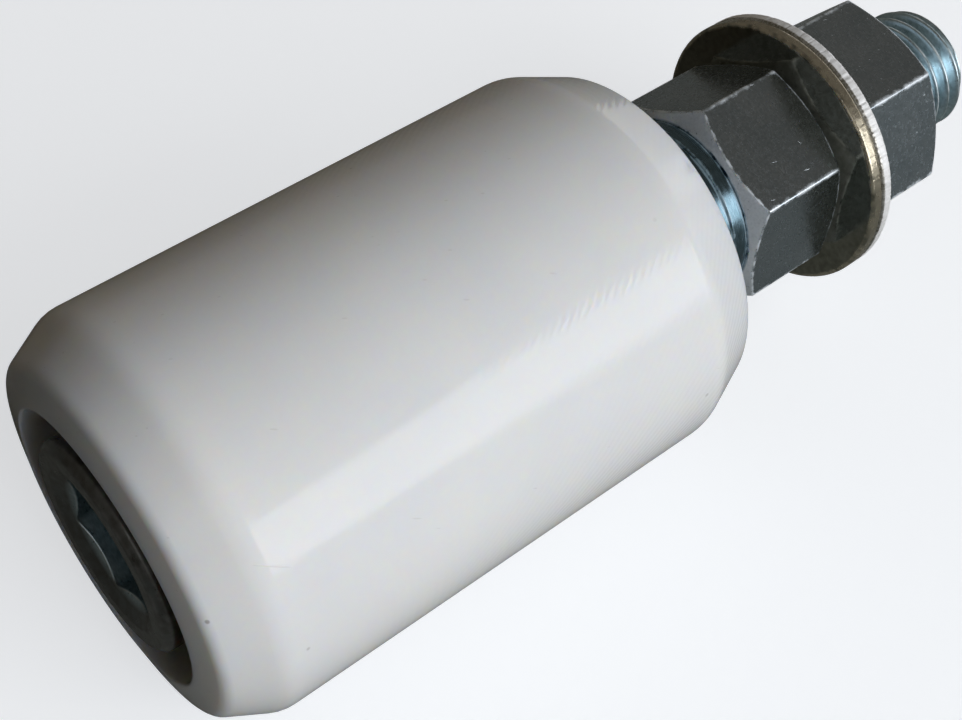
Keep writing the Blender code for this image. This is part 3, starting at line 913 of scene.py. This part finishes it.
CAMERA_TARGET = Vector((0.0, -0.0155, 0.0212))
CAMERA_AZIMUTH = 49.9
CAMERA_ELEVATION = 49.2
CAMERA_ROLL = 1.2
CAMERA_DISTANCE = 0.2292
CAMERA_LENS = 59.92
FLOOR_GLOW = 0.66
ROOM_LIGHT = 0.02
ROOM_IN_REFLECTIONS = 0.105
ROOM_COLOR = (1.0, 0.93, 0.80)
WALL_COLOR = (0.93, 0.94, 0.95)
WALL_GLOW = 0.95


def direction(azimuth, elevation):
    """From the object towards a place round it. Azimuth 0 is in front of it, at -Y, and 90 is at +X."""
    a, e = math.radians(azimuth), math.radians(elevation)
    return Vector((math.sin(a) * math.cos(e), -math.cos(a) * math.cos(e), math.sin(e)))


def aim(obj, azimuth, elevation, distance, roll=0.0):
    """Puts a camera or a light at a place round the object, looking at it."""
    back = direction(azimuth, elevation)
    level = (-back).to_track_quat("-Z", "Y")
    obj.rotation_mode = "QUATERNION"
    obj.location = CAMERA_TARGET + back * distance
    obj.rotation_quaternion = level @ Matrix.Rotation(math.radians(roll), 3, "Z").to_quaternion()


def make_camera():
    camera = bpy.data.cameras.new("camera")
    camera.lens = CAMERA_LENS
    camera.sensor_width = 36
    camera.clip_start = 0.01
    camera.clip_end = 50
    obj = linked("camera", camera)
    aim(obj, CAMERA_AZIMUTH, CAMERA_ELEVATION, CAMERA_DISTANCE, CAMERA_ROLL)
    bpy.context.scene.camera = obj


def soft_light(name, azimuth, elevation, distance, size, radiance, color, diffuse=True, reflected=True):
    """A rectangular light that looks as bright as `radiance` from everywhere in front of it."""
    light = bpy.data.lights.new(name, "AREA")
    light.shape = "RECTANGLE"
    light.size, light.size_y = size
    light.energy = radiance * math.pi * size[0] * size[1]
    light.color = color
    obj = linked(name, light)
    obj.visible_diffuse = diffuse
    obj.visible_glossy = reflected
    aim(obj, azimuth, elevation, distance)


def make_lights():
    cool = (0.95, 0.968, 0.99)
    warm = (1.0, 0.76, 0.46)
    soft_light("window", 115, 17, 0.70, (0.50, 0.34), 3.2, cool, diffuse=False)
    soft_light("near_panel", 46, 34, 0.8, (0.35, 0.35), 0.7, cool, diffuse=False)
    soft_light("far_panel", 168, 8, 0.8, (0.5, 0.4), 0.7, cool, diffuse=False)
    soft_light("key", 95, 21, 0.9, (0.66, 0.64), 2.75, cool, reflected=False)
    soft_light("low_key", 92, 9, 0.9, (0.5, 0.24), 3.6, cool, reflected=False)
    soft_light("high_key", 104, 42, 0.9, (0.7, 0.6), 2.0, cool, reflected=False)
    soft_light("lamp_lit_wall", 256, 17, 0.9, (0.8, 0.44), 0.62, warm, reflected=False)
    soft_light("doorway", 194, 8, 0.9, (0.6, 0.35), 0.9, (1, 1, 1))


def make_room():
    """A dim warm room, brighter in reflections, and a pale wall for the camera past the floor."""
    world = bpy.data.worlds.new("room")
    bpy.context.scene.world = world
    world.use_nodes = True
    tree = world.node_tree
    tree.nodes.clear()
    path = tree.nodes.new("ShaderNodeLightPath")
    strength = tree.nodes.new("ShaderNodeMapRange")
    strength.inputs["To Min"].default_value = ROOM_LIGHT
    strength.inputs["To Max"].default_value = ROOM_IN_REFLECTIONS
    around = tree.nodes.new("ShaderNodeBackground")
    around.inputs["Color"].default_value = (*ROOM_COLOR, 1)
    behind = tree.nodes.new("ShaderNodeBackground")
    behind.inputs["Color"].default_value = (*WALL_COLOR, 1)
    behind.inputs["Strength"].default_value = WALL_GLOW
    either = tree.nodes.new("ShaderNodeMixShader")
    out = tree.nodes.new("ShaderNodeOutputWorld")
    tree.links.new(path.outputs["Is Glossy Ray"], strength.inputs["Value"])
    tree.links.new(strength.outputs[0], around.inputs["Strength"])
    tree.links.new(path.outputs["Is Camera Ray"], either.inputs[0])
    tree.links.new(around.outputs[0], either.inputs[1])
    tree.links.new(behind.outputs[0], either.inputs[2])
    tree.links.new(either.outputs[0], out.inputs["Surface"])
    bpy.context.scene.view_settings.view_transform = "Standard"


MATERIALS = make_materials()
make_camera()
make_lights()
make_room()
make_floor()
make_roller()
make_screw()
ENDS = make_rings()
make_bearing("front", ENDS)
make_bearing("rear", ENDS)
make_retaining_ring(ENDS)
